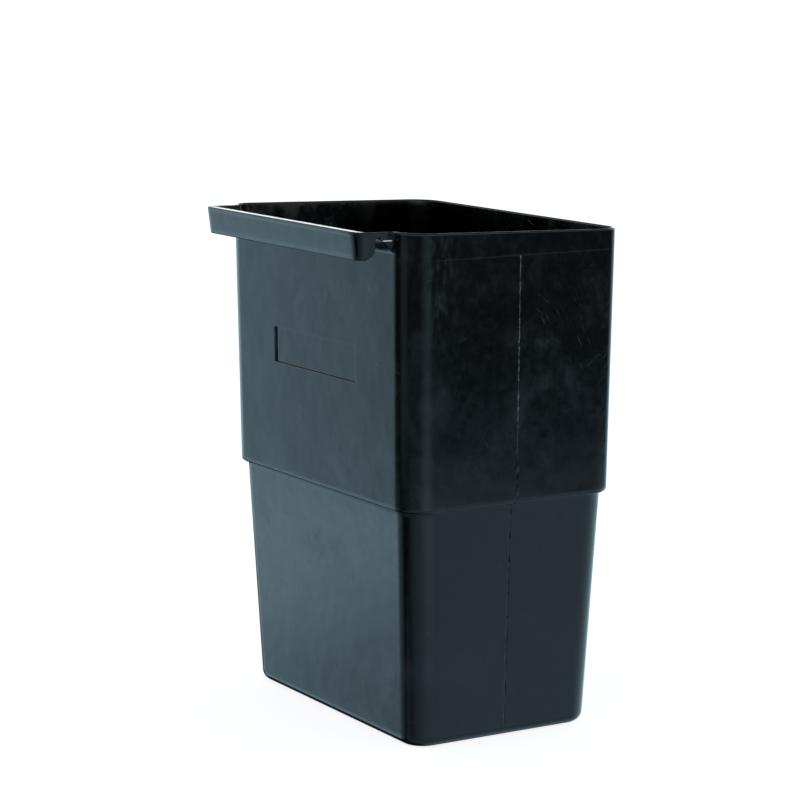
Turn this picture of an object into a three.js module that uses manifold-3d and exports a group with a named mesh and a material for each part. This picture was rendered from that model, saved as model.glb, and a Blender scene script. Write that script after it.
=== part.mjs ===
// A refuse bin that hangs on the end of a utility cart. The whole bin is one plastic moulding:
// a tapered tub with a step halfway up, and a wide lip on one long side turned over into a hook.
//
// Millimetres, +Z up. The origin is the middle of the underside, and the hook side faces -Y.
import * as THREE from "three";
import { mergeVertices } from "three/addons/utils/BufferGeometryUtils.js";
import Module from "manifold-3d";

const wasm = await Module();
wasm.setup();

// ---- Driving dimensions ----

// Wall and floor thickness of the moulding.
const WALL = 2.8;
const FLOOR = 3.2;

// Outer sections of the tub, from the base up. Each is a rounded rectangle: its half width in X,
// the Y of its hook side and of its far side, and its corner radius.
const BASE = { z: 0, x: 147.4, hook: -94.5, far: 89, corner: 22.5 };
const STEP_FOOT = { z: 209.2, x: 158.5, hook: -102.7, far: 100, corner: 24.5 };
const STEP_LIP = { z: 212.8, x: 163.4, hook: -107.6, far: 104.9, corner: 25.8 };
const RIM = { z: 445.3, x: 167.5, hook: -109.4, far: 109.4, corner: 25.8 };

// The rim is a plane that rises towards the hook side by this much per millimetre.
const RIM_SLOPE = 0.031;

// Outside radii of the base edge and of the step's two edges.
const BASE_FILLET = 8.7;
const STEP_ROUND = 3.6;
const STEP_COVE = 1.2;

// The hook lip: half width, outermost Y and plan corner radius at its crest, height of the flap's
// lower edge, and how far the flap leans in towards the tub at that edge.
const LIP = { x: 143, hook: -144.5, corner: 12, bottom: 425.5, lean: 2.7 };

// The lip's top is dished: it falls from the crest to the tub's inside along a quarter ellipse,
// and rises to the rim again at each end of the lip.
const DISH = { crest: -142.5, run: 35.9, depth: 16, endWidth: 5 };

// Roof of the channel under the lip: a rounded corner inside the crest, a flat seat that rests on
// the cart's rail, then a quarter ellipse from the seat's inner edge down to the tub's wall.
const SEAT = { y: -135.7, z: 446.6, round: 1.8 };
const CHANNEL_FOOT = { y: -109.3, z: 430 };

// Where the flap stops on its way round each end of the lip, and its lower corner radius there.
const FLAP_END = { y: -126.5, round: 9.5 };

// Shallow recess for a label on the hook side.
const LABEL = { width: 148, height: 32.5, z: 328.5, depth: 1.6 };

// Segments in a quarter turn, for corners in plan and for fillets.
const CORNER_STEPS = 8;
const FILLET_STEPS = 4;

// How far a cutter reaches past what it cuts.
const CLEAR = 10;

// ---- Shape helpers ----

const quarter = (i, count) => (i / count) * (Math.PI / 2);
const steps = (count) => Array.from({ length: count + 1 }, (_, i) => i);
const rimHeight = (y) => RIM.z - RIM_SLOPE * y;

// A section part of the way from one to another, drawn in by inset.
function sectionAt(low, high, t, z, inset = 0) {
  const mix = (key) => low[key] + t * (high[key] - low[key]);
  return {
    z,
    x: mix("x") - inset,
    hook: mix("hook") + inset,
    far: mix("far") - inset,
    corner: mix("corner") - inset,
  };
}

// The section where a straight wall between two sections passes a height.
function wallSection(low, high, z, inset = 0) {
  return sectionAt(low, high, (z - low.z) / (high.z - low.z), z, inset);
}

// A section's outline, anticlockwise seen from above.
function ring({ z, x, hook, far, corner }) {
  const centres = [
    [x - corner, far - corner],
    [corner - x, far - corner],
    [corner - x, hook + corner],
    [x - corner, hook + corner],
  ];
  return centres.flatMap(([cx, cy], turn) =>
    steps(CORNER_STEPS).map((i) => {
      const a = turn * (Math.PI / 2) + quarter(i, CORNER_STEPS);
      return [cx + corner * Math.cos(a), cy + corner * Math.sin(a), z];
    }),
  );
}

// A closed body through rings of equal length, each end closed by a fan.
function loft(rings) {
  const count = rings[0].length;
  const middle = (points) =>
    [0, 1, 2].map((k) => points.reduce((sum, p) => sum + p[k], 0) / count);
  const points = [...rings.flat(), middle(rings[0]), middle(rings.at(-1))];
  const first = rings.length * count;
  const top = (rings.length - 1) * count;
  const faces = [];
  for (let i = 0; i < count; i++) {
    const next = (i + 1) % count;
    for (let row = 0; row < top; row += count) {
      faces.push(row + i, row + next, row + count + next);
      faces.push(row + i, row + count + next, row + count + i);
    }
    faces.push(first, next, i);
    faces.push(first + 1, top + i, top + next);
  }
  const geometry = new THREE.BufferGeometry();
  geometry.setAttribute("position", new THREE.Float32BufferAttribute(points.flat(), 3));
  geometry.setIndex(faces);
  return solid(geometry);
}

// A closed three.js geometry as a solid that can be joined and cut.
function solid(geometry) {
  const bare = geometry.clone();
  bare.deleteAttribute("normal");
  bare.deleteAttribute("uv");
  const merged = mergeVertices(bare);
  return new wasm.Manifold(
    new wasm.Mesh({
      numProp: 3,
      vertProperties: merged.attributes.position.array,
      triVerts: new Uint32Array(merged.index.array),
    }),
  );
}

// An outline in Y and Z, extruded along X to both sides of the middle.
function extrudeAlongX(outline, halfWidth) {
  const shape = new THREE.Shape(outline.map(([y, z]) => new THREE.Vector2(y, z)));
  const geometry = new THREE.ExtrudeGeometry(shape, {
    depth: 2 * halfWidth,
    bevelEnabled: false,
  });
  geometry.translate(0, 0, -halfWidth);
  const axes = [
    new THREE.Vector3(0, 1, 0),
    new THREE.Vector3(0, 0, 1),
    new THREE.Vector3(1, 0, 0),
  ];
  return solid(geometry.applyMatrix4(new THREE.Matrix4().makeBasis(...axes)));
}

// ---- The tub ----

// The step in the wall, as [share of the step's width, height] pairs from its foot to its lip.
function stepProfile(z, cove, round) {
  const width = STEP_LIP.x - STEP_FOOT.x;
  const rise = steps(FILLET_STEPS).map((i) => {
    const a = quarter(i, FILLET_STEPS);
    return [(cove * (1 - Math.cos(a))) / width, z - cove * (1 - Math.sin(a))];
  });
  const turn = steps(FILLET_STEPS).map((i) => {
    const a = quarter(i, FILLET_STEPS);
    return [1 - (round * (1 - Math.sin(a))) / width, z + round * (1 - Math.cos(a))];
  });
  return [...rise, ...turn];
}

// One skin of the tub: the outside with no inset, or the inside one wall further in.
function tubSkin(inset, floorZ, fillet, step) {
  const foot = steps(FILLET_STEPS).map((i) => {
    const a = quarter(i, FILLET_STEPS);
    const z = floorZ + fillet * (1 - Math.cos(a));
    return wallSection(BASE, STEP_FOOT, z, inset + fillet * (1 - Math.sin(a)));
  });
  const ledge = step.map(([t, z]) => sectionAt(STEP_FOOT, STEP_LIP, t, z, inset));
  const mouth = wallSection(STEP_LIP, RIM, RIM.z + CLEAR, inset);
  return loft([...foot, ...ledge, mouth].map(ring));
}

const tubOutside = () =>
  tubSkin(0, 0, BASE_FILLET, stepProfile(STEP_FOOT.z, STEP_COVE, STEP_ROUND));

const tubInside = () =>
  tubSkin(
    WALL,
    FLOOR,
    BASE_FILLET - WALL,
    stepProfile(STEP_FOOT.z + WALL, STEP_COVE + WALL, STEP_ROUND - WALL),
  );

// ---- The hook lip ----

// A block with the lip's outline, through [height, inset] pairs. The flap leans, so the block
// narrows downwards from the crest.
function lipBlock(levels) {
  const crest = rimHeight(LIP.hook);
  return loft(
    levels.map(([z, inset]) => {
      const drawnIn = inset + (LIP.lean * (crest - z)) / (crest - LIP.bottom);
      return ring({
        z,
        x: LIP.x - drawnIn,
        hook: LIP.hook + drawnIn,
        far: RIM.hook + 2 * LIP.corner,
        corner: LIP.corner - drawnIn,
      });
    }),
  );
}

// Height of the channel's roof between the seat and the tub's wall.
function roofHeight(y) {
  const share = (y - SEAT.y) / (CHANNEL_FOOT.y - SEAT.y);
  return CHANNEL_FOOT.z + (SEAT.z - CHANNEL_FOOT.z) * Math.sqrt(1 - share ** 2);
}

// The roof as [y, z] points, from the seat to the wall.
function channelRoof() {
  return steps(2 * FILLET_STEPS).map((i) => {
    const y = SEAT.y + (CHANNEL_FOOT.y - SEAT.y) * Math.sin(quarter(i, 2 * FILLET_STEPS));
    return [y, roofHeight(y)];
  });
}

// The channel that takes the cart's rail, open below.
function channel() {
  const low = LIP.bottom - CLEAR;
  const outline = [
    [RIM.hook + CLEAR, low],
    [RIM.hook + CLEAR, CHANNEL_FOOT.z],
    ...channelRoof().reverse(),
    [SEAT.y, SEAT.z + CLEAR],
    [LIP.hook - CLEAR, SEAT.z + CLEAR],
    [LIP.hook - CLEAR, low],
  ];
  const insideCorner = steps(FILLET_STEPS).map((i) => {
    const a = quarter(i, FILLET_STEPS);
    return [SEAT.z - SEAT.round * (1 - Math.sin(a)), WALL + SEAT.round * (1 - Math.cos(a))];
  });
  return extrudeAlongX(outline, LIP.x).intersect(lipBlock([[low, WALL], ...insideCorner]));
}

// The openings at the channel's two ends, past the rounded lower corner of the flap.
function channelEnds() {
  const low = LIP.bottom - CLEAR;
  const roof = channelRoof().filter(([y]) => y > FLAP_END.y);
  const corner = steps(FILLET_STEPS).map((i) => {
    const a = quarter(i, FILLET_STEPS);
    return [
      FLAP_END.y - FLAP_END.round * (1 - Math.sin(a)),
      LIP.bottom + FLAP_END.round * (1 - Math.cos(a)),
    ];
  });
  const outline = [
    [RIM.hook + CLEAR, low],
    [RIM.hook + CLEAR, CHANNEL_FOOT.z],
    ...roof.reverse(),
    [FLAP_END.y, roofHeight(FLAP_END.y)],
    ...corner.reverse(),
    [FLAP_END.y - FLAP_END.round, low],
  ];
  return extrudeAlongX(outline, LIP.x + CLEAR);
}

// The space over the lip's dished top, one outline for each place along X. Its share of the full
// depth is 1 along the lip and 0 at the ends, where it clears the rim.
function dish() {
  const outline = (x, share) => {
    const floor = steps(CORNER_STEPS).map((i) => {
      const a = quarter(i, CORNER_STEPS);
      const y = DISH.crest + DISH.run * Math.sin(a);
      const fall = DISH.depth * share * (1 - Math.cos(a));
      return [x, y, rimHeight(y) - fall + (1 - share)];
    });
    const end = floor.at(-1);
    const sky = RIM.z + 2 * CLEAR;
    return [...floor, [x, end[1] + CLEAR, end[2]], [x, end[1] + CLEAR, sky], [x, DISH.crest, sky]];
  };
  const end = LIP.x - 1;
  const full = end - DISH.endWidth;
  return loft([outline(-end, 0), outline(-full, 1), outline(full, 1), outline(end, 0)]);
}

// Everything above the plane of the rim.
function aboveRim() {
  const block = new THREE.BoxGeometry(4 * RIM.x, 6 * RIM.far, 6 * CLEAR);
  block.translate(0, 0, 3 * CLEAR);
  block.rotateX(-Math.atan(RIM_SLOPE));
  block.translate(0, 0, RIM.z);
  return solid(block);
}

// ---- The label recess ----

function labelRecess() {
  const lean = (STEP_LIP.hook - RIM.hook) / (RIM.z - STEP_LIP.z);
  const wallY = STEP_LIP.hook - lean * (LABEL.z - STEP_LIP.z);
  const block = new THREE.BoxGeometry(LABEL.width, 2 * LABEL.depth, LABEL.height);
  block.rotateX(Math.atan(lean));
  block.translate(0, wallY, LABEL.z);
  return solid(block);
}

// ---- The whole moulding ----

function binBody() {
  const block = lipBlock([[LIP.bottom, 0], [RIM.z + CLEAR, 0]]);
  const lip = block.subtract(channel()).subtract(channelEnds());
  const moulding = tubOutside()
    .add(lip)
    .subtract(aboveRim())
    .subtract(tubInside())
    .subtract(dish())
    .subtract(labelRecess());
  const { vertProperties, triVerts } = moulding.getMesh();
  const geometry = new THREE.BufferGeometry();
  geometry.setAttribute("position", new THREE.BufferAttribute(vertProperties, 3));
  geometry.setIndex(new THREE.BufferAttribute(triVerts, 1));
  return geometry;
}

// Black polypropylene with a semi-gloss mould finish.
const blackPlastic = () =>
  new THREE.MeshStandardMaterial({ color: 0x14181a, roughness: 0.38, metalness: 0 });

const bin = new THREE.Group();
const body = new THREE.Mesh(binBody(), blackPlastic());
body.name = "bin_body";
bin.add(body);

export default bin;
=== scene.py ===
import math
from collections import namedtuple

import bpy
from mathutils import Matrix, Vector


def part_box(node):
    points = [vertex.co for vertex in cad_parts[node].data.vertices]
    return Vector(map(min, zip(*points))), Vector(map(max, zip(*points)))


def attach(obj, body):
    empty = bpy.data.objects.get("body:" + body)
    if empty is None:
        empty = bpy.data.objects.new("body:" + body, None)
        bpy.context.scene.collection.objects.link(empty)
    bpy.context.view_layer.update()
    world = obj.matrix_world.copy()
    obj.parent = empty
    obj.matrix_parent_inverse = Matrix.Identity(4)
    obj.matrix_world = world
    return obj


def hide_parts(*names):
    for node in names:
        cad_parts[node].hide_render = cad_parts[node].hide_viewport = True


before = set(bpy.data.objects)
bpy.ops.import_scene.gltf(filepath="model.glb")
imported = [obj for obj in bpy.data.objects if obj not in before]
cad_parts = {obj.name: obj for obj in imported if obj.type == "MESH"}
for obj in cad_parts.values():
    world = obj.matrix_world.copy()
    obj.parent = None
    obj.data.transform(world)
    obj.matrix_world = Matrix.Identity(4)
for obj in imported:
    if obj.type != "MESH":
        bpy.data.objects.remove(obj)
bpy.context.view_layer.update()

MM = 0.001
BODY = "bin_body"
low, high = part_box(BODY)

# ---- Driving dimensions ----

WALL = 2.8 * MM
FLOOR = 3.2 * MM

# The rim is a plane that rises towards the hook side by this much per unit.
RIM_SLOPE = 0.031

# Outer sections of the tub, from the rim down. Each is a rounded rectangle: its half width in X,
# the Y of its hook side and of its far side, and its corner radius.
Section = namedtuple("Section", "z x hook far corner")
RIM_X = high.x - 0.04 * MM
RIM_FAR = high.y + 0.06 * MM
RIM = Section(high.z + RIM_SLOPE * low.y, RIM_X, -RIM_FAR, RIM_FAR, 25.8 * MM)
STEP_LIP = Section(212.8 * MM, RIM.x - 4.1 * MM, RIM.hook + 1.8 * MM, RIM.far - 4.5 * MM, 25.8 * MM)
STEP_WIDTH = 4.9 * MM
STEP_FOOT = Section(
    209.2 * MM,
    STEP_LIP.x - STEP_WIDTH,
    STEP_LIP.hook + STEP_WIDTH,
    STEP_LIP.far - STEP_WIDTH,
    24.5 * MM,
)
BASE = Section(
    low.z,
    STEP_FOOT.x - 11.1 * MM,
    STEP_FOOT.hook + 8.2 * MM,
    STEP_FOOT.far - 11 * MM,
    22.5 * MM,
)

# Outside radii of the base edge, of the step's two edges, and of the rim.
BASE_FILLET = 8.7 * MM
STEP_ROUND = 3.6 * MM
STEP_COVE = 1.2 * MM
RIM_ROUND = WALL / 2

# The hook lip at its crest: half width, outermost Y, plan corner radius, radius over the crest and
# radius of the hollow where each end meets the tub.
LIP_X = 143 * MM
LIP_Y = low.y
LIP_CORNER = 16 * MM
CREST_ROUND = 1.1 * MM
END_HOLLOW = 3 * MM

# The flap: height of its lower edge, how far it leans in there, where it stops on its way round
# each end, its lower corner radius, how far its edge rounding reaches up each face and in, and the
# share of that rounding that is left on the band's edge.
FLAP_BOTTOM = 425.5 * MM
FLAP_LEAN = 2.7 * MM
FLAP_STOP = -126.5 * MM
FLAP_CORNER = 9.5 * MM
EDGE_OUT = (1.8 * MM, 1.0 * MM)
EDGE_IN = (1.0 * MM, 0.7 * MM)
BAND_SOFTNESS = 0.4

# The lip's dished top: depth, and the X where its steep end walls start and stop.
DISH_DEPTH = 16 * MM
DISH_FULL_X = 136.5 * MM
DISH_END_X = LIP_X - CREST_ROUND

# Roof of the channel under the lip. It stops short of a quarter ellipse, at a share of its width, so
# it meets the wall at a crease.
SEAT_Y = -135.7 * MM
SEAT_Z = 446.6 * MM
SEAT_ROUND = 1.8 * MM
ROOT_Y = -109.3 * MM
ROOT_Z = 430 * MM
ROOF_SWEEP = 0.92

# The band at each end between the flap and the tub, which has a shallow part next to the flap and a
# deeper part next to the tub, with a short slope from one to the other. The roof passes over it with
# a little to spare in the hollow, and leaves the lip an inner face at least so tall elsewhere.
BAND_SHALLOW_Z = 444.3 * MM
BAND_DEEP_Z = 441 * MM
BAND_STEP_Y = -120.5 * MM
BAND_STEP_LENGTH = 0.9 * MM
BAND_TOP_Z = 446.5 * MM
ROOF_OVER_BAND = 0.3 * MM
LEAST_HANG = 0.8 * MM

# Recess for a label on the hook wall, centred on X 0, and the distance from its sides at which the
# mesh's even pitch starts again.
LABEL_X = 74 * MM
LABEL_LOW = 312.25 * MM
LABEL_HIGH = 344.75 * MM
LABEL_DEPTH = 1.6 * MM
LABEL_SLOPE = 0.7 * MM
LABEL_GAP = 2.5 * MM

# Lines that the mould leaves: the thin witness line round the ends and their corners, and the
# parting line down each end, which jogs sideways at the step. The parting line is a ragged ridge
# from the witness line down to the height where it turns into a groove. Each has a height or depth
# and a half width, and the groove a width of its slopes.
WITNESS_Z = 425 * MM
WITNESS_HEIGHT = 0.028 * MM
WITNESS_HALF = 0.4 * MM
PARTING_RIDGE = 0.22 * MM
PARTING_RIDGE_HALF = 0.7 * MM
PARTING_GROOVE = 0.85 * MM
PARTING_GROOVE_HALF = 0.6 * MM
PARTING_GROOVE_SLOPE = 0.25 * MM
PARTING_TURN_Z = 258 * MM
PARTING_TURN = 6 * MM

# Gate mark in the middle of the underside: radius of its dimple and of the stub, and the depth.
DIMPLE = 9 * MM
STUB = 2.4 * MM
DIMPLE_DEPTH = 0.7 * MM

# Mesh pitch on the walls, and up the wall along the parting groove, and steps in a small radius.
PITCH = 6 * MM
GROOVE_PITCH = 2.2 * MM
FINE = 8


# ---- Small helpers ----


def lerp(a, b, share):
    return a + (b - a) * share


def clamp(value):
    return min(max(value, 0.0), 1.0)


def smooth(share):
    share = clamp(share)
    return share * share * (3 - 2 * share)


def shares(count):
    """Even shares above 0, up to 1."""
    return [(i + 1) / count for i in range(count)]


def quarter(share):
    return share * math.pi / 2


def spread(start, end, pitch):
    """Even values from start to end, both included, about a pitch apart."""
    count = max(1, round(abs(end - start) / pitch))
    return [lerp(start, end, i / count) for i in range(count + 1)]


def rim_height(y):
    return RIM.z - RIM_SLOPE * y


# ---- Sections and stations of the tub ----


def section_between(lower, upper, share, z, inset=0.0):
    x, hook, far, corner = (lerp(a, b, share) for a, b in zip(lower[1:], upper[1:]))
    return Section(z, x - inset, hook + inset, far - inset, corner - inset)


def wall_section(lower, upper, z, inset=0.0):
    """The section where the straight wall between two sections passes a height."""
    return section_between(lower, upper, (z - lower.z) / (upper.z - lower.z), z, inset)


# A station is one place round the tub. Its side is hook, hook_corner, end, far_corner or far, and
# its place is an X at the rim, an angle, or the share of the end's length. Mirror is the sign of X.
Station = namedtuple("Station", "side place mirror")

# Stations on the hook wall keep their X at every height up to here.
STEADY_X = 118 * MM
RIM_FLAT_X = RIM.x - RIM.corner


def parting_y(z):
    """Y of the parting line."""
    upper = lerp(-0.5 * MM, 0.6 * MM, (z - STEP_LIP.z) / (WITNESS_Z - STEP_LIP.z))
    lower = lerp(-2.6 * MM, -3.2 * MM, z / STEP_FOOT.z)
    return lerp(lower, upper, smooth((z - STEP_FOOT.z) / (STEP_LIP.z - STEP_FOOT.z)))


def outline(station, s):
    """A station's place on a section: x, y and the outward normal, for positive X."""
    flat = s.x - s.corner
    side, place = station.side, station.place
    if side == "hook":
        beyond = (place - STEADY_X) / (RIM_FLAT_X - STEADY_X)
        x = place if beyond < 0 else lerp(STEADY_X, flat, beyond)
        return x, s.hook, 0.0, -1.0
    if side == "hook_corner":
        nx, ny = math.sin(place), -math.cos(place)
        return flat + s.corner * nx, s.hook + s.corner * (1 + ny), nx, ny
    if side == "end":
        start, stop = s.hook + s.corner, s.far - s.corner
        y, middle = lerp(start, stop, place), lerp(start, stop, 0.5)
        pull = 1 - smooth(abs(y - middle) / (40 * MM))
        return s.x, y + pull * (parting_y(s.z) - middle), 1.0, 0.0
    if side == "far_corner":
        nx, ny = math.cos(place), math.sin(place)
        return flat + s.corner * nx, s.far - s.corner * (1 - ny), nx, ny
    return place / RIM_FLAT_X * flat, s.far, 0.0, 1.0


def reach(station):
    """The X where a station on the hook side meets the rim."""
    return outline(station, RIM)[0]


# ---- Plan of the lip ----

# The hollow at the end of the lip is an arc that touches the lip's end and the tub's corner.
CORNER_Y = RIM.hook + RIM.corner
HOLLOW_X = LIP_X + END_HOLLOW
HOLLOW_Y = CORNER_Y - math.sqrt((RIM.corner + END_HOLLOW) ** 2 - (HOLLOW_X - RIM_FLAT_X) ** 2)
HOLLOW_START = math.atan2(CORNER_Y - HOLLOW_Y, RIM_FLAT_X - HOLLOW_X)
HOLLOW_REACH = HOLLOW_X + END_HOLLOW * math.cos(HOLLOW_START)
FRONT_X = LIP_X - LIP_CORNER
END_Y = LIP_Y + LIP_CORNER

# The lip's corner in plan is a superellipse, which starts to turn sooner than an arc as sharp. Its
# length is this many times its size.
LIP_CORNER_POWER = 2.8
LIP_CORNER_LENGTH = 1.68

# How far a profile reaches along X at the rim, where the lip's end, its corner and its front begin.
END_REACH = LIP_X
CORNER_REACH = 131 * MM
FRONT_REACH = 122 * MM

# A place on the lip's crest: x, y, outward normal, and the distance along the crest past the
# place where the flap stops.
Crest = namedtuple("Crest", "x y nx ny along")


def crest_at(at):
    """The crest's plan for a profile that reaches X = at on the rim."""
    if at >= END_REACH:
        share = (at - END_REACH) / (HOLLOW_REACH - END_REACH)
        angle = lerp(math.pi, HOLLOW_START, share)
        c, s = math.cos(angle), math.sin(angle)
        x, y = HOLLOW_X + END_HOLLOW * c, HOLLOW_Y + END_HOLLOW * s
        return Crest(x, y, -c, -s, FLAP_STOP - y)
    if at >= CORNER_REACH:
        y = lerp(END_Y, HOLLOW_Y, (at - CORNER_REACH) / (END_REACH - CORNER_REACH))
        return Crest(LIP_X, y, 1.0, 0.0, FLAP_STOP - y)
    if at >= FRONT_REACH:
        turned = (CORNER_REACH - at) / (CORNER_REACH - FRONT_REACH)
        c, s = math.cos(quarter(turned)), max(math.sin(quarter(turned)), 0.0)
        place, lean = 2 / LIP_CORNER_POWER, 2 - 2 / LIP_CORNER_POWER
        normal = Vector((max(c, 0.0) ** lean, -(s**lean))).normalized()
        x, y = FRONT_X + LIP_CORNER * max(c, 0.0) ** place, END_Y - LIP_CORNER * s**place
        along = FLAP_STOP - END_Y + LIP_CORNER_LENGTH * LIP_CORNER * turned
        return Crest(x, y, *normal, along)
    x = FRONT_X * at / FRONT_REACH
    round_corner = FLAP_STOP - END_Y + LIP_CORNER_LENGTH * LIP_CORNER
    return Crest(x, LIP_Y, 0.0, -1.0, round_corner + FRONT_X - x)


def end_reach(y):
    """The reach of the profile that meets the lip's end at a Y."""
    return lerp(CORNER_REACH, END_REACH, (y - END_Y) / (HOLLOW_Y - END_Y))


# ---- Heights of the lip's top and of the channel's roof ----

DISH_START_Y = LIP_Y + CREST_ROUND
DISH_RUN = RIM.hook + WALL - DISH_START_Y


def dish_share(x):
    """How much of the dish's depth there is at an X: none at the ends."""
    return smooth((DISH_END_X - abs(x)) / (DISH_END_X - DISH_FULL_X))


def top_height(x, y):
    """The lip's top: a quarter ellipse from the crest down to the tub's inside."""
    run = clamp((y - DISH_START_Y) / DISH_RUN)
    return rim_height(y) - DISH_DEPTH * dish_share(x) * (1 - math.sqrt(1 - run * run))


def band_height(x, y):
    """The lower edge of the band at the lip's end."""
    deep = smooth((y - BAND_STEP_Y) / BAND_STEP_LENGTH + 0.5)
    fade = smooth((abs(x) - END_REACH) / (HOLLOW_REACH - END_REACH))
    return lerp(lerp(BAND_SHALLOW_Z, BAND_DEEP_Z, deep), BAND_TOP_Z, fade)


def roof_height(crest, y):
    """The channel's roof, which rises to the band's edge in the hollow at each end."""
    run = clamp((y - SEAT_Y) / (ROOT_Y - SEAT_Y)) * ROOF_SWEEP
    foot = math.sqrt(1 - ROOF_SWEEP**2)
    roof = lerp(ROOT_Z, SEAT_Z, (math.sqrt(1 - run * run) - foot) / (1 - foot))
    end = band_height(crest.x, crest.y) + ROOF_OVER_BAND
    return lerp(roof, end, smooth((crest.x - LIP_X) / (HOLLOW_REACH - LIP_X)))


# ---- The flap ----


def flap_depth_inside(along, z, band):
    """Distance from the flap's or the band's free edge, inwards."""
    a, b = along, z - FLAP_BOTTOM
    if a < FLAP_CORNER and b < FLAP_CORNER:
        flap = FLAP_CORNER - math.hypot(FLAP_CORNER - a, FLAP_CORNER - b)
    else:
        flap = min(a, b)
    return max(flap, z - band)


def flap_edge(along, band):
    """Height of the free edge: the flap's, or past its end the band's."""
    if along < 0:
        return band
    if along < FLAP_CORNER:
        return FLAP_BOTTOM + FLAP_CORNER - math.sqrt(FLAP_CORNER**2 - (FLAP_CORNER - along) ** 2)
    return FLAP_BOTTOM


def edge_round(distance, size):
    """How far a face is drawn in near an edge that is rounded by (reach, depth)."""
    extent, depth = size
    t = clamp(1 - distance / extent)
    return depth * (1 - math.sqrt(1 - t * t))


# ---- Rows: how many points each stretch of a profile has ----

ROOT_ROWS = 3
ROOF_ROWS = 12
SEAT_ROWS = 2
NOOK_ROWS = 4
INNER_ROWS = 4
EDGE_IN_ROWS = [0.55, 0.25, 0.08, 0.0]
EDGE_OUT_ROWS = [0.0, 0.04, 0.15, 0.33, 0.6, 1.0]
OUTER_ROWS = 6
CREST_ROWS = 7
TOP_ROWS = 18
UNDER_ROWS = ROOF_ROWS + SEAT_ROWS + NOOK_ROWS + INNER_ROWS + len(EDGE_IN_ROWS) + len(EDGE_OUT_ROWS)

# The regular rows on the tub's outside and inside stop at these heights, under the lip and the rim.
WALL_TOP = 428 * MM
INSIDE_TOP = 418 * MM

# The share of a profile's way out under the lip that the curved part of the roof takes. The flat
# seat takes the rest.
SHARE_OF_SEAT = 0.863

# At the lip's ends, from this Y to the hollow, its thickness turns towards the wall and its outside
# stands up straighter: the share of its lean and edge rounding that goes.
TURN_START_Y = -119 * MM
STRAIGHTENED = 0.9

# Where the lip is narrow or its edge hangs little, the share of its width that its thickness takes,
# the share of what is left that the seat's rounding takes, and the shares of the inner face's height
# that the seat's rounding and the edge's take, and of the outer face's height that the edge's takes.
NARROW_THICKNESS = 0.8
NARROW_NOOK = 0.8
NOOK_OF_HANG = 0.45
INNER_OF_HANG = 0.4
OUTER_OF_FACE = 0.5

# The rows where there is no lip are squeezed together next to it, into this height over the band's
# top, and spread out evenly within this distance along X.
SQUEEZED_HEIGHT = 0.4 * MM
SQUEEZED_X = 8 * MM


def outer_point(station, z):
    """A point on the upper wall's outside."""
    x, y = outline(station, wall_section(STEP_LIP, RIM, z))[:2]
    return Vector((x, y, z))


def under_lip(station, crest):
    """From the wall under the lip, out along the channel's roof and round the flap's edge."""
    band = band_height(crest.x, crest.y)
    edge = flap_edge(crest.along, band)
    normal = Vector((crest.nx, crest.ny))
    rim_point = Vector((crest.x, crest.y))
    lip_top = rim_height(crest.y)
    root = Vector(outline(station, wall_section(STEP_LIP, RIM, ROOT_Z))[:2])
    width = (rim_point - root).length
    thick = min(WALL, NARROW_THICKNESS * width)
    scale = thick / WALL

    # The lip's thickness is taken square to its face, and next to the hollow towards the wall.
    turned = smooth((crest.y - TURN_START_Y) / (HOLLOW_Y - TURN_START_Y))
    across = normal.lerp((rim_point - root).normalized(), turned).normalized()
    hang = max(roof_height(crest, crest.y - across.y * thick) - edge, LEAST_HANG)
    nook = min(SEAT_ROUND * scale, NOOK_OF_HANG * hang, NARROW_NOOK * (width - thick))
    start = rim_point - across * (thick + nook)
    lift = edge + hang - roof_height(crest, start.y)
    root_z = roof_height(crest, root.y)
    points = [outer_point(station, lerp(WALL_TOP, root_z, t)) for t in shares(ROOT_ROWS)]

    def roof_point(t):
        p = root.lerp(start, t)
        height = roof_height(crest, p.y) + lift * smooth(t)
        return p.to_3d() + Vector((0, 0, min(height, lip_top - CREST_ROUND)))

    for t in shares(ROOF_ROWS):
        points.append(roof_point(SHARE_OF_SEAT * (1 - math.cos(quarter(t)))))
    for t in shares(SEAT_ROWS):
        points.append(roof_point(lerp(SHARE_OF_SEAT, 1, t)))
    nook_top = points[-1].z
    inner_top = nook_top - nook
    for t in shares(NOOK_ROWS):
        a = quarter(t)
        p = start + across * nook * math.sin(a)
        points.append(Vector((p.x, p.y, nook_top - nook * (1 - math.cos(a)))))

    kept = 1 - STRAIGHTENED * turned
    softness = kept * scale * lerp(BAND_SOFTNESS, 1.0, smooth(crest.along / FLAP_CORNER))

    def face_point(z, inner):
        top = inner_top if inner else lip_top
        lean = kept * FLAP_LEAN * (top - z) / (lip_top - FLAP_BOTTOM)
        distance = max(flap_depth_inside(crest.along, z, band), 0.0)
        if inner:
            inset = across * (thick - scale * edge_round(distance, EDGE_IN))
        else:
            inset = normal * softness * edge_round(distance, EDGE_OUT)
        p = rim_point - normal * lean - inset
        return Vector((p.x, p.y, z))

    inner_round = min(EDGE_IN[0], INNER_OF_HANG * hang)
    for t in shares(INNER_ROWS):
        points.append(face_point(lerp(inner_top, edge + inner_round, t), True))
    for t in EDGE_IN_ROWS:
        points.append(face_point(edge + inner_round * t, True))
    outer_top = lip_top - crest_round(crest.x)
    outer_round = min(EDGE_OUT[0], OUTER_OF_FACE * (outer_top - edge))
    for t in EDGE_OUT_ROWS:
        points.append(face_point(edge + outer_round * t, False))
    for t in shares(OUTER_ROWS):
        points.append(face_point(lerp(edge + outer_round, outer_top, t), False))
    return points


def crest_round(x):
    """Radius over the crest, which grows from the rim's to the lip's."""
    return lerp(CREST_ROUND, RIM_ROUND, smooth((abs(x) - LIP_X) / (HOLLOW_REACH - LIP_X)))


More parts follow.
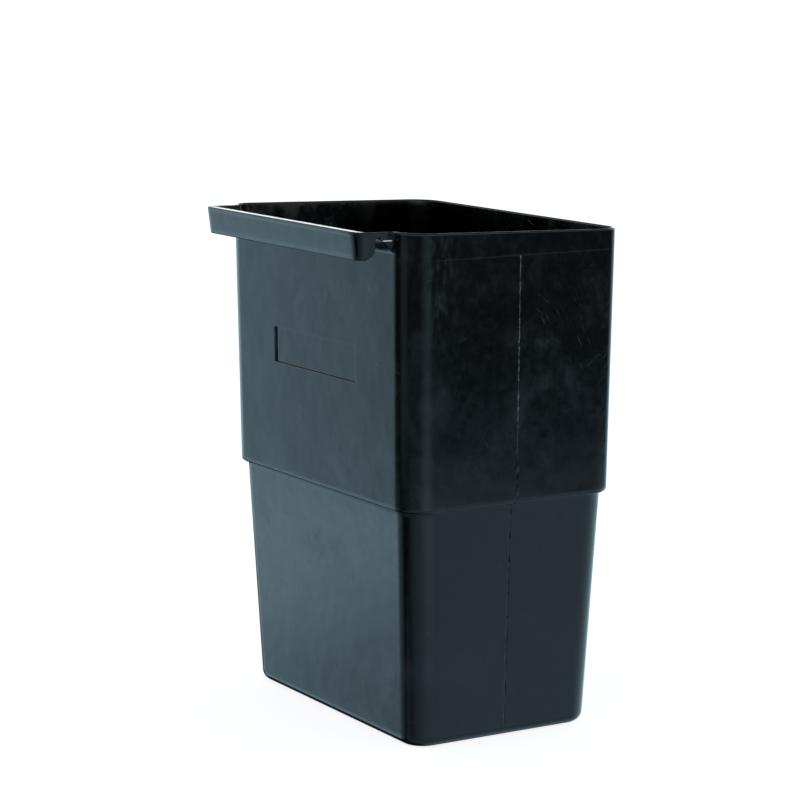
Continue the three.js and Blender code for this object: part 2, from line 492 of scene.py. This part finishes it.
def under_rim(station):
    """The same rows on the outside wall where there is no lip, closer together next to it."""
    x, y = outline(station, RIM)[:2]
    top = rim_height(y) - RIM_ROUND
    count = ROOT_ROWS + UNDER_ROWS + OUTER_ROWS
    away = 1.0
    if station.side == "hook_corner":
        away = smooth((x - HOLLOW_REACH) / SQUEEZED_X)
    squeezed_top = BAND_TOP_Z + SQUEEZED_HEIGHT
    near = [lerp(WALL_TOP, BAND_TOP_Z, t) for t in shares(ROOT_ROWS)]
    near += [lerp(BAND_TOP_Z, squeezed_top, t) for t in shares(UNDER_ROWS)]
    near += [lerp(squeezed_top, top, t) for t in shares(OUTER_ROWS)]
    even = [lerp(WALL_TOP, top, t) for t in shares(count)]
    return [outer_point(station, lerp(a, b, away)) for a, b in zip(near, even)]


def over_top(station, crest):
    """Over the crest or the rim, and across to the tub's inside."""
    inside = Vector(outline(station, wall_section(STEP_LIP, RIM, RIM.z, WALL))[:2])
    if crest:
        x, y, nx, ny = crest[:4]
        radius = crest_round(crest.x)
    else:
        x, y, nx, ny = outline(station, wall_section(STEP_LIP, RIM, rim_height(0)))
        radius = RIM_ROUND
    normal = Vector((nx, ny))
    edge = Vector((x, y))
    start = edge - normal * radius
    points = []
    for t in shares(CREST_ROWS):
        a = quarter(t)
        p = edge - normal * radius * (1 - math.cos(a))
        points.append(Vector((p.x, p.y, rim_height(p.y) - radius * (1 - math.sin(a)))))
    plain = 1 - dish_share(inside.x) if crest else 1.0
    for t in shares(TOP_ROWS):
        p = start.lerp(inside, math.sin(quarter(t)))
        left = clamp(1 - (inside - p).length / RIM_ROUND)
        drop = plain * RIM_ROUND * (1 - math.sqrt(1 - left * left))
        height = top_height(p.x, p.y) if crest else rim_height(p.y)
        points.append(Vector((p.x, p.y, height - drop)))
    return points


# ---- The rest of a profile ----


def label_depth(x, z):
    """Depth of the label recess at a place on the hook wall."""
    inside = min(LABEL_X - abs(x), z - LABEL_LOW, LABEL_HIGH - z)
    return LABEL_DEPTH * smooth(inside / LABEL_SLOPE)


def mould_lines(station, y, z):
    """How far the mould's lines stand out of the end walls and their corners."""
    if station.side in ("hook", "far"):
        return 0.0
    around = {"hook_corner": station.place / quarter(1), "end": 1.0, "far_corner": 1.0}[station.side]
    witness = smooth(2 * around - 1) * WITNESS_HEIGHT * smooth(1 - abs(z - WITNESS_Z) / WITNESS_HALF)
    if station.side != "end":
        return witness
    # Two waves up the wall sway the parting line, and two more make its height uneven.
    wobble = 0.12 * MM * (math.sin(z / (1.7 * MM)) + math.sin(z / (4.1 * MM)))
    off = abs(y - parting_y(z) - wobble)
    ragged = 0.6 + 0.4 * math.sin(z / (2.3 * MM)) * math.sin(z / (6.1 * MM))
    ends = smooth((WITNESS_Z - z) / (3 * MM)) * smooth((z - BASE_FILLET) / (4 * MM))
    ridge = PARTING_RIDGE * smooth(1 - off / PARTING_RIDGE_HALF)
    ridge *= smooth((z - PARTING_TURN_Z) / PARTING_TURN)
    groove = PARTING_GROOVE * smooth((PARTING_GROOVE_HALF - off) / PARTING_GROOVE_SLOPE)
    groove *= smooth((PARTING_TURN_Z - z) / PARTING_TURN)
    return (ridge - groove) * ragged * ends + witness


def outside_wall(station):
    """From the base's edge up to under the lip: rounded edge, lower wall, step, upper wall."""
    points = []

    def add(section, z):
        x, y, nx, ny = outline(station, section)
        offset = mould_lines(station, y, z)
        if station.side == "hook":
            offset -= label_depth(x, z)
        points.append(Vector((x + nx * offset, y + ny * offset, z)))

    for t in [0.0, *shares(FINE)]:
        a = quarter(t)
        z = BASE_FILLET * (1 - math.cos(a))
        add(wall_section(BASE, STEP_FOOT, z, BASE_FILLET * (1 - math.sin(a))), z)
    for z in spread(BASE_FILLET, STEP_FOOT.z - STEP_COVE, GROOVE_PITCH)[1:-1]:
        add(wall_section(BASE, STEP_FOOT, z), z)
    for t, z in step_rows(STEP_FOOT.z, STEP_COVE, STEP_ROUND):
        add(section_between(STEP_FOOT, STEP_LIP, t, z), z)
    for z in upper_rows():
        add(wall_section(STEP_LIP, RIM, z), z)
    return points


def step_rows(z, cove, rounding):
    """The step as (share of its width, height) pairs from its foot to its lip."""
    rows = []
    for t in [0.0, *shares(FINE // 2)]:
        a = quarter(t)
        rows.append((cove * (1 - math.cos(a)) / STEP_WIDTH, z - cove * (1 - math.sin(a))))
    for t in [0.0, *shares(FINE)]:
        a = quarter(t)
        rows.append((1 - rounding * (1 - math.sin(a)) / STEP_WIDTH, z + rounding * (1 - math.cos(a))))
    return rows


def label_lines(edge, inwards):
    """Rows or columns across one edge of the label recess."""
    return [edge + inwards * LABEL_SLOPE * t for t in (-0.4, 0, 0.2, 0.4, 0.6, 0.8, 1, 1.4)]


def upper_rows():
    """Heights of the upper wall's rows, closer at the label recess and the witness line."""
    rows = spread(STEP_LIP.z, PARTING_TURN_Z, GROOVE_PITCH)[1:]
    rows += spread(PARTING_TURN_Z, LABEL_LOW - 1.5 * MM, PITCH)[1:]
    rows += label_lines(LABEL_LOW, 1)
    rows += spread(LABEL_LOW + 3 * MM, LABEL_HIGH - 3 * MM, PITCH)
    rows += reversed(label_lines(LABEL_HIGH, -1))
    rows += spread(LABEL_HIGH + 2 * MM, WITNESS_Z - 1.5 * MM, PITCH)
    rows += [WITNESS_Z + t * MM for t in (-0.4, -0.2, 0, 0.2, 0.4)]
    return [*rows, WALL_TOP]


def rings(station, section, z, dimple):
    """From the middle of a flat floor out to a section: a small circle first, then wider."""
    x, y = outline(station, section)[:2]
    middle_y = (section.hook + section.far) / 2
    angle = math.atan2(y - middle_y, x)
    points = []
    for radius, depth in dimple:
        points.append(Vector((radius * math.cos(angle), middle_y + radius * math.sin(angle), z + depth)))
    last = points[-1]
    for t in (0.2, 0.5, 0.8):
        points.append(last.lerp(Vector((x, y, z)), t))
    return points


UNDERSIDE_RINGS = [
    (0.8 * STUB, 0.1 * MM),
    (STUB, 0.3 * MM),
    (1.15 * STUB, DIMPLE_DEPTH),
    (DIMPLE, DIMPLE_DEPTH),
    (DIMPLE + 0.4 * MM, 0.4 * DIMPLE_DEPTH),
    (DIMPLE + 1.0 * MM, 0.0),
]
FLOOR_RINGS = [(STUB, 0.0), (DIMPLE, 0.0)]


def inside_wall(station, top):
    """From the inside's top edge down to the floor's edge."""
    points = []

    def add(section):
        x, y = outline(station, section)[:2]
        points.append(Vector((x, y, section.z)))

    for t in shares(8):
        z = lerp(top, INSIDE_TOP, t)
        add(wall_section(STEP_LIP, RIM, z, WALL))
    step = step_rows(STEP_FOOT.z + WALL, STEP_COVE + WALL, STEP_ROUND - WALL)
    for z in spread(INSIDE_TOP, step[-1][1], 2 * PITCH)[1:-1]:
        add(wall_section(STEP_LIP, RIM, z, WALL))
    for t, z in reversed(step):
        add(section_between(STEP_FOOT, STEP_LIP, t, z, WALL))
    fillet = BASE_FILLET - WALL
    for z in spread(step[0][1], FLOOR + fillet, 2 * PITCH)[1:-1]:
        add(wall_section(BASE, STEP_FOOT, z, WALL))
    for t in [0.0, *shares(FINE)]:
        a = quarter(t)
        z = FLOOR + fillet * (1 - math.sin(a))
        add(wall_section(BASE, STEP_FOOT, z, WALL + fillet * (1 - math.cos(a))))
    return points


def profile(station):
    """Every point of one profile, from the middle of the underside to the middle of the floor."""
    at = reach(station) if station.side.startswith("hook") else RIM.x
    crest = crest_at(at) if at < HOLLOW_REACH else None
    foot = wall_section(BASE, STEP_FOOT, 0, BASE_FILLET)
    points = rings(station, foot, 0, UNDERSIDE_RINGS)
    points += outside_wall(station)
    points += under_lip(station, crest) if crest else under_rim(station)
    points += over_top(station, crest)
    points += inside_wall(station, points[-1].z)
    floor = wall_section(BASE, STEP_FOOT, FLOOR, BASE_FILLET)
    points += reversed(rings(station, floor, FLOOR, FLOOR_RINGS))
    for p in points:
        p.x *= station.mirror
    return points


# ---- All stations, and the mesh ----

# Mesh pitch round the lip's corners, and how many steps each corner of the tub has.
CORNER_PITCH = 0.4 * MM
HOOK_CORNER_STEPS = 18
FAR_CORNER_STEPS = 16

# Profiles that meet the lip's end, by their Y in millimetres: closer together where the flap stops
# and where the band gets deeper. Profiles at the parting line, by their distance from it in
# millimetres, and the distance from it at which the even pitch starts again.
LIP_END_PLACES = [-128.2, -127.7, -127.3, -127, -126.8, -126.65, -126.5, -126.3, -125.7, -124.5]
LIP_END_PLACES += [-123, -121.7, -121, -120.7, -120.4, -120.1, -119.5, -118.4, -117, -115.5, -114]
PARTING_PLACES = [-1.1, -0.7, -0.5, -0.3, -0.15, 0, 0.15, 0.3, 0.5, 0.7, 1.1]
PARTING_GAP = 3 * MM


def half_round():
    """Stations from the middle of the hook wall to the middle of the far wall."""
    places = spread(0, LABEL_X - LABEL_GAP, PITCH)
    places += reversed(label_lines(LABEL_X, -1))
    places += spread(LABEL_X + LABEL_GAP, FRONT_REACH, PITCH)
    places += spread(FRONT_REACH, CORNER_REACH, CORNER_PITCH)[1:]
    places += [end_reach(y * MM) for y in LIP_END_PLACES]
    places += spread(END_REACH, HOLLOW_REACH, CORNER_PITCH)
    stations = []
    for x in places:
        if x < RIM_FLAT_X:
            stations.append(Station("hook", x, 1))
        else:
            stations.append(Station("hook_corner", math.asin((x - RIM_FLAT_X) / RIM.corner), 1))
    turn = spread(stations[-1].place, quarter(1), quarter(1) / HOOK_CORNER_STEPS)[1:]
    stations += [Station("hook_corner", a, 1) for a in turn]
    length = RIM.far - RIM.hook - 2 * RIM.corner
    near = [0.5 + t * MM / length for t in PARTING_PLACES]
    gap = PARTING_GAP / length
    sides = spread(0, 0.5 - gap, PITCH / length)[1:] + near + spread(0.5 + gap, 1, PITCH / length)
    stations += [Station("end", t, 1) for t in sides]
    turn = spread(0, quarter(1), quarter(1) / FAR_CORNER_STEPS)[1:]
    stations += [Station("far_corner", a, 1) for a in turn]
    stations += [Station("far", x, 1) for x in spread(RIM_FLAT_X, 0, PITCH)[1:]]
    return stations


def shell_mesh(name):
    """The closed shell, as a grid of quads with a small face at each end of the profiles."""
    half = half_round()
    other = [s._replace(mirror=-1) for s in reversed(half[1:-1])]
    profiles = [profile(s) for s in half + other]
    rows, count = len(profiles[0]), len(profiles)
    vertices = [p for points in profiles for p in points]
    faces = []
    for i in range(count):
        here, after = i * rows, (i + 1) % count * rows
        faces += [(here + r, after + r, after + r + 1, here + r + 1) for r in range(rows - 1)]
    faces.append([i * rows for i in reversed(range(count))])
    faces.append([i * rows + rows - 1 for i in range(count)])
    mesh = bpy.data.meshes.new(name)
    mesh.from_pydata(vertices, [], faces)
    mesh.validate()
    mesh.shade_smooth()
    return mesh


# ---- Material ----


class Nodes:
    """Adds nodes to a material or world tree, and links their inputs by name."""

    def __init__(self, owner):
        owner.use_nodes = True
        self.tree = owner.node_tree

    def add(self, kind, output=0, settings=None, **inputs):
        """A new node's output socket. An input is a value or another node's output socket."""
        node = self.tree.nodes.new(kind)
        for key, value in (settings or {}).items():
            setattr(node, key, value)
        for key, value in inputs.items():
            self.put(node.inputs[int(key[1:]) if key[1:].isdigit() else key.replace("_", " ")], value)
        return node.outputs[output]

    def put(self, socket, value):
        if isinstance(value, bpy.types.NodeSocket):
            self.tree.links.new(value, socket)
        else:
            socket.default_value = value

    def math(self, operation, a, b=0.0, c=0.0):
        return self.add("ShaderNodeMath", settings={"operation": operation}, _0=a, _1=b, _2=c)

    def band(self, value, start, stop, low=0.0, high=1.0):
        """Smoothly from low to high as a value goes from start to stop."""
        return self.add(
            "ShaderNodeMapRange",
            settings={"interpolation_type": "SMOOTHSTEP"},
            Value=value,
            From_Min=start,
            From_Max=stop,
            To_Min=low,
            To_Max=high,
        )

    def noise(self, vector, scale, detail=4.0, roughness=0.55, distortion=0.0):
        return self.add(
            "ShaderNodeTexNoise",
            Vector=vector,
            Scale=scale,
            Detail=detail,
            Roughness=roughness,
            Distortion=distortion,
        )

    def mapped(self, vector, turn=(0, 0, 0), scale=(1, 1, 1), shift=(0, 0, 0)):
        """Turned first, then stretched along the turned axes."""
        turned = self.add("ShaderNodeMapping", Vector=vector, Rotation=turn)
        return self.add("ShaderNodeMapping", Vector=turned, Location=shift, Scale=scale)

    def mix(self, share, a, b):
        settings = {"data_type": "RGBA"}
        return self.add("ShaderNodeMix", output=2, settings=settings, _0=share, _6=a, _7=b)


def scratches(nodes, place):
    """Fine straight scratches: the peaks of noise that is squeezed into thin leaves, in patches.
    The leaves cut every wall at a slant, so they show as lines."""
    total = None
    for i, turn in enumerate([(0, 0.15, -0.79), (0, -0.6, 0.79), (0, 0.9, -0.6), (0, 1.15, 0.5)]):
        leaves = nodes.noise(nodes.mapped(place, turn, (1500, 34, 46), (3, 1.7 * i, 5)), 1.0, detail=1.0)
        patches = nodes.noise(nodes.mapped(place, shift=(i * 2.3, i, 0)), 18.0, detail=3.0)
        thin = nodes.math("MULTIPLY", nodes.band(leaves, 0.68, 0.76), nodes.band(patches, 0.56, 0.68))
        total = thin if total is None else nodes.math("MAXIMUM", total, thin)
    return total


def specks(nodes, place):
    """Small scattered nicks and dust."""
    cells = nodes.add("ShaderNodeTexVoronoi", Vector=place, Scale=300.0)
    sparse = nodes.noise(nodes.mapped(place, shift=(7, 2, 5)), 40.0, detail=5.0, roughness=0.7)
    return nodes.math("MULTIPLY", nodes.band(cells, 0.17, 0.08), nodes.band(sparse, 0.58, 0.7))


def edge_wear_and_highlight(nodes, height):
    """Rubbed, lighter edges: the lip of the step, and the base's rounded edge, where the lighter colour is
    also a painted highlight.
    """
    base = nodes.band(height, 7 * MM, 0.5 * MM)
    above = nodes.band(height, STEP_FOOT.z - 1 * MM, STEP_FOOT.z + 0.5 * MM)
    below = nodes.band(height, STEP_LIP.z + 2 * MM, STEP_LIP.z - 2 * MM)
    return nodes.math("MAXIMUM", base, nodes.math("MULTIPLY", above, below))


def flash_line(nodes, place, x, y, z):
    """The torn, whitened flash on the upper parting line: a thin broken line with ragged patches."""
    along = nodes.mapped(place, scale=(0, 0, 1))
    wobble = nodes.math("SUBTRACT", nodes.noise(along, 300.0, detail=4.0, roughness=0.7), 0.5)
    slope = (parting_y(WITNESS_Z) - parting_y(STEP_LIP.z)) / (WITNESS_Z - STEP_LIP.z)
    middle = nodes.math("MULTIPLY_ADD", z, slope, parting_y(STEP_LIP.z) - slope * STEP_LIP.z)
    straight = nodes.math("SUBTRACT", y, middle)
    off = nodes.math("SUBTRACT", straight, nodes.math("MULTIPLY", wobble, 1.1 * MM))
    torn = nodes.noise(place, 560.0, detail=5.0, roughness=0.8)
    width = nodes.band(torn, 0.44, 0.72, 0.05 * MM, 1.4 * MM)
    line = nodes.band(nodes.math("DIVIDE", nodes.math("ABSOLUTE", off), width), 1.3, 0.5)
    patchy = nodes.band(nodes.noise(along, 120.0, detail=4.0, roughness=0.7), 0.38, 0.62, 0.08, 1.0)
    below = nodes.band(z, PARTING_TURN_Z - 5 * MM, PARTING_TURN_Z + 30 * MM)
    above = nodes.band(z, WITNESS_Z + 1 * MM, WITNESS_Z - 1 * MM)
    outer = nodes.band(nodes.math("ABSOLUTE", x), STEP_LIP.x - 1.5 * MM, STEP_LIP.x - 0.5 * MM)
    reach_z = nodes.math("MULTIPLY", nodes.math("MULTIPLY", below, above), outer)
    return nodes.math("MULTIPLY", nodes.math("MULTIPLY", line, patchy), reach_z)


def band_edge_glint(nodes, x, y, z):
    """Painted highlight along the lower edge of the band at each end of the lip: a near-white line that
    stands in for the glint on that edge.
    """
    off = nodes.math("ABSOLUTE", nodes.math("SUBTRACT", z, BAND_DEEP_Z + 0.3 * MM))
    thin = nodes.band(off, 0.8 * MM, 0.5 * MM)
    start = nodes.band(y, BAND_STEP_Y + 0.5 * MM, BAND_STEP_Y + 1.5 * MM)
    stop = nodes.band(y, HOLLOW_Y + 1 * MM, HOLLOW_Y)
    outer = nodes.band(nodes.math("ABSOLUTE", x), LIP_X - 2.4 * MM, LIP_X - 1.8 * MM)
    return nodes.math("MULTIPLY", nodes.math("MULTIPLY", thin, outer), nodes.math("MULTIPLY", start, stop))


def corner_haze(nodes, place, x, y, z):
    """Handling marks: a hazy, streaky strip down each end wall beside the hook side's corner."""
    near = nodes.band(y, RIM.hook + 0.45 * RIM.corner, RIM.hook + 0.95 * RIM.corner)
    fade = nodes.band(y, RIM.hook + 2.3 * RIM.corner, RIM.hook + 1.1 * RIM.corner)
    up = nodes.band(z, 290 * MM, 400 * MM)
    streaks = nodes.noise(nodes.mapped(place, scale=(1, 1, 0.3)), 150.0, detail=6.0, roughness=0.7)
    streaky = nodes.band(streaks, 0.42, 0.68)
    outer = nodes.band(nodes.math("ABSOLUTE", x), 140 * MM, 155 * MM)
    strip = nodes.math("MULTIPLY", nodes.math("MULTIPLY", near, fade), nodes.math("MULTIPLY", up, outer))
    return nodes.math("MULTIPLY", strip, streaky)


def black_plastic():
    """Black polypropylene with a semi-gloss mould finish, hazy in patches, scuffed and scratched, with
    painted highlights along the base's edge and the lower edges of the lip's band.
    """
    material = bpy.data.materials.new("black_plastic")
    nodes = Nodes(material)
    place = nodes.add("ShaderNodeTexCoord", output="Object")
    split = nodes.tree.nodes.new("ShaderNodeSeparateXYZ")
    nodes.put(split.inputs["Vector"], place)
    x, y, z = split.outputs
    clouds = nodes.noise(place, 9.0, detail=7.0, roughness=0.62, distortion=1.2)
    mottle = nodes.noise(nodes.mapped(place, scale=(1, 1, 0.6)), 42.0, detail=8.0, roughness=0.7)
    film = nodes.math("MULTIPLY", nodes.band(clouds, 0.42, 0.68), nodes.band(mottle, 0.34, 0.66))
    film = nodes.math("MAXIMUM", film, corner_haze(nodes, place, x, y, z))
    lines = scratches(nodes, place)
    nicks = specks(nodes, place)
    wear_and_highlight_patches = nodes.band(nodes.noise(place, 180.0, detail=6.0, roughness=0.75), 0.5, 0.68)
    worn_and_highlight = nodes.math("MULTIPLY", edge_wear_and_highlight(nodes, z), wear_and_highlight_patches)
    flash = flash_line(nodes, place, x, y, z)
    painted_glint = band_edge_glint(nodes, x, y, z)
    damage_and_highlight = nodes.math("MAXIMUM", nodes.math("MAXIMUM", lines, nicks), worn_and_highlight)

    colour = nodes.mix(film, (0.0003, 0.0004, 0.0006, 1), (0.004, 0.0052, 0.0074, 1))
    # Lighter where scratched, nicked and rubbed; along the base's edge this lightening is also a painted
    # highlight.
    colour = nodes.mix(nodes.math("MULTIPLY", damage_and_highlight, 0.5), colour, (0.02, 0.025, 0.03, 1))
    colour = nodes.mix(nodes.math("MULTIPLY", flash, 0.9), colour, (0.15, 0.165, 0.17, 1))
    # Painted highlight: a near-white line on the lower edge of the band at each end of the lip.
    colour = nodes.mix(nodes.math("MULTIPLY", painted_glint, 0.9), colour, (0.6, 0.63, 0.62, 1))
    fine = nodes.noise(place, 130.0, detail=5.0, roughness=0.7)
    shine = nodes.math("MULTIPLY_ADD", film, 0.14, nodes.band(fine, 0.3, 0.7, 0.09, 0.16))
    shine = nodes.math("MULTIPLY_ADD", damage_and_highlight, 0.2, shine)
    shine = nodes.math("MULTIPLY_ADD", nodes.math("MAXIMUM", flash, painted_glint), 0.4, shine)

    swell = nodes.noise(place, 22.0, detail=2.0)
    peel = nodes.noise(nodes.mapped(place, scale=(1, 1, 0.5)), 300.0, detail=3.0)
    grain = nodes.noise(place, 2600.0, detail=2.0)
    relief = nodes.math("MULTIPLY_ADD", peel, 0.012, nodes.math("MULTIPLY", swell, 0.3))
    relief = nodes.math("MULTIPLY_ADD", grain, 0.002, relief)
    relief = nodes.math("MULTIPLY_ADD", damage_and_highlight, -0.02, relief)
    bump = nodes.add("ShaderNodeBump", Height=relief, Strength=1.0, Distance=1 * MM)

    shader = nodes.tree.nodes["Principled BSDF"]
    nodes.put(shader.inputs["Base Color"], colour)
    nodes.put(shader.inputs["Roughness"], shine)
    nodes.put(shader.inputs["Normal"], bump)
    shader.inputs["IOR"].default_value = 1.49
    return material


# ---- Camera, floor and studio ----

# The camera's angles in degrees: to the right of the hook side's normal, above the horizon, and its
# roll. Its aim is this far right of and above the middle of the bin, in its own picture.
CAMERA_ANGLES = (59.651, 9.296, -0.2233)
CAMERA_MIDDLE = Vector((0, 0, 222.5 * MM))
CAMERA_AIM = (-17.73 * MM, 54.38 * MM)
CAMERA_DISTANCE = 2.559
CAMERA_SENSOR = 36
CAMERA_LENS = 126.77

FLOOR_SIZE = 80
FLOOR_DROP = 0.1 * MM
FLOOR_COLOUR = (0.86, 0.87, 0.875, 1)
FLOOR_GLOW = 0.8


def add_camera():
    """The camera looks down slightly at the hook side's right-hand corner."""
    azimuth, elevation, roll = (math.radians(a) for a in CAMERA_ANGLES)
    back = Vector((
        math.sin(azimuth) * math.cos(elevation),
        -math.cos(azimuth) * math.cos(elevation),
        math.sin(elevation),
    ))
    right = Vector((math.cos(azimuth), math.sin(azimuth), 0))
    up = back.cross(right)
    target = CAMERA_MIDDLE + right * CAMERA_AIM[0] + up * CAMERA_AIM[1]
    rolled_right = right * math.cos(roll) + up * math.sin(roll)
    rolled_up = up * math.cos(roll) - right * math.sin(roll)
    data = bpy.data.cameras.new("camera")
    data.sensor_width = CAMERA_SENSOR
    data.lens = CAMERA_LENS
    camera = bpy.data.objects.new("camera", data)
    axes = Matrix((rolled_right, rolled_up, back)).transposed()
    camera.matrix_world = Matrix.Translation(target + back * CAMERA_DISTANCE) @ axes.to_4x4()
    bpy.context.collection.objects.link(camera)
    bpy.context.scene.camera = camera


def add_floor():
    """A plain pale floor. The bin's gloss shows the studio round it instead."""
    mesh = bpy.data.meshes.new("floor")
    half = FLOOR_SIZE / 2
    corners = [(-half, -half), (half, -half), (half, half), (-half, half)]
    mesh.from_pydata([(x, y, -FLOOR_DROP) for x, y in corners], [], [(0, 1, 2, 3)])
    floor = bpy.data.objects.new("floor", mesh)
    material = bpy.data.materials.new("floor")
    material.use_nodes = True
    shader = material.node_tree.nodes["Principled BSDF"]
    shader.inputs["Base Color"].default_value = FLOOR_COLOUR
    shader.inputs["Roughness"].default_value = 0.9
    shader.inputs["Specular IOR Level"].default_value = 0.1
    shader.inputs["Emission Color"].default_value = (1, 1, 1, 1)
    shader.inputs["Emission Strength"].default_value = FLOOR_GLOW
    mesh.materials.append(material)
    bpy.context.collection.objects.link(floor)
    floor.visible_glossy = False


# The studio that the gloss reflects: its brightness round the bin, as {degrees anticlockwise from
# +X: brightness}, from beyond the lit floor to the floor under the walls. A white screen stands to
# the left of the hook side, with a bright edge over the near floor, and a soft strip light to the
# right of the camera. Close to the bin, the far left is dark. The walls hang over a little, so they
# show nothing above the horizon: there, a white backdrop stands all round under a dark ceiling.
BEYOND_FLOOR = {
    -180: 1.3, -157: 1.25, -151: 0.72, -139: 0.25, -128: 0.03, -114: 0.03, -96: 0.32, -84: 0.25,
    -76: 0.08, -30: 0.07, -8: 0.36, 6: 0.34, 20: 0.08, 90: 0.06, 125: 0.9,
}
BEHIND = {28: 0.64, 95: 1.1, 135: 1.1, 150: 0.05}
FAR_FLOOR = {
    -180: 0.5, -164: 1.4, -151: 1.4, -140: 0.85, -122: 0.4, -108: 0.02, -90: 0.02, -68: 0.34,
    -40: 0.47, -4: 1.05, **BEHIND,
}
MIDDLE_FLOOR = {
    -180: 0.03, -168: 0.03, -163: 1.8, -158: 1.0, -151: 0.55, -122: 0.35, -108: 0.02, -90: 0.02,
    -68: 0.34, -40: 0.45, -4: 1.0, **BEHIND,
}
NEAR_FLOOR = {
    -180: 0.03, -170: 0.03, -163: 1.8, -158: 0.95, -151: 0.85, -128: 0.35, -114: 0.12, -96: 0.36,
    -80: 0.15, -65: 0.35, -15: 0.65, 10: 0.7, **BEHIND,
}
UNDERFOOT = {-180: 0.03, -125: 0.04, -95: 0.35, -20: 0.5, 30: 0.5, 110: 0.7, 150: 0.05}

# Each ring gives way to the one beyond it between these elevations, in degrees, and the floor to the
# backdrop and the backdrop to the ceiling in the same way.
NEAR_STARTS = (-36, -27)
MIDDLE_STARTS = (-21, -18)
FAR_STARTS = (-17.6, -14.2)
BEYOND_STARTS = (-13.8, -11.4)
BACKDROP_STARTS = (-3, 1)
CEILING_STARTS = (10, 20)
TINT = (0.66, 1.0, 1.2)
BACKDROP = (1.65, 1.8, 1.85, 1)
CEILING = (0.2, 0.23, 0.25, 1)


def studio_ring(nodes, turn, brightness):
    """The studio's brightness by direction round the horizon."""
    ramp = nodes.tree.nodes.new("ShaderNodeValToRGB")
    nodes.put(ramp.inputs["Fac"], turn)
    stops = ramp.color_ramp.elements
    while len(stops) < len(brightness):
        stops.new(0.5)
    for stop, (degrees, level) in zip(stops, brightness.items()):
        stop.position = degrees / 360 + 0.5
        stop.color = (*(level * tint for tint in TINT), 1)
    return ramp.outputs["Color"]


def add_world():
    world = bpy.data.worlds.new("studio")
    nodes = Nodes(world)
    direction = nodes.add("ShaderNodeTexCoord", output="Generated")
    split = nodes.tree.nodes.new("ShaderNodeSeparateXYZ")
    nodes.put(split.inputs["Vector"], direction)
    x, y, z = split.outputs
    turn = nodes.math("MULTIPLY_ADD", nodes.math("ARCTAN2", y, x), 1 / (2 * math.pi), 0.5)
    elevation = nodes.math("MULTIPLY", nodes.math("ARCSINE", z), 180 / math.pi)
    colour = studio_ring(nodes, turn, UNDERFOOT)
    for ring, starts in (
        (NEAR_FLOOR, NEAR_STARTS),
        (MIDDLE_FLOOR, MIDDLE_STARTS),
        (FAR_FLOOR, FAR_STARTS),
        (BEYOND_FLOOR, BEYOND_STARTS),
    ):
        colour = nodes.mix(nodes.band(elevation, *starts), colour, studio_ring(nodes, turn, ring))
    colour = nodes.mix(nodes.band(elevation, *BACKDROP_STARTS), colour, BACKDROP)
    colour = nodes.mix(nodes.band(elevation, *CEILING_STARTS), colour, CEILING)
    nodes.put(nodes.tree.nodes["Background"].inputs["Color"], colour)
    bpy.context.scene.world = world


add_camera()
add_floor()
add_world()

mesh = shell_mesh("bin_shell")
mesh.materials.append(black_plastic())
bin_shell = bpy.data.objects.new("bin_shell", mesh)
bpy.context.collection.objects.link(bin_shell)
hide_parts(BODY)
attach(bin_shell, "root")
bpy.context.scene.view_settings.view_transform = "Standard"
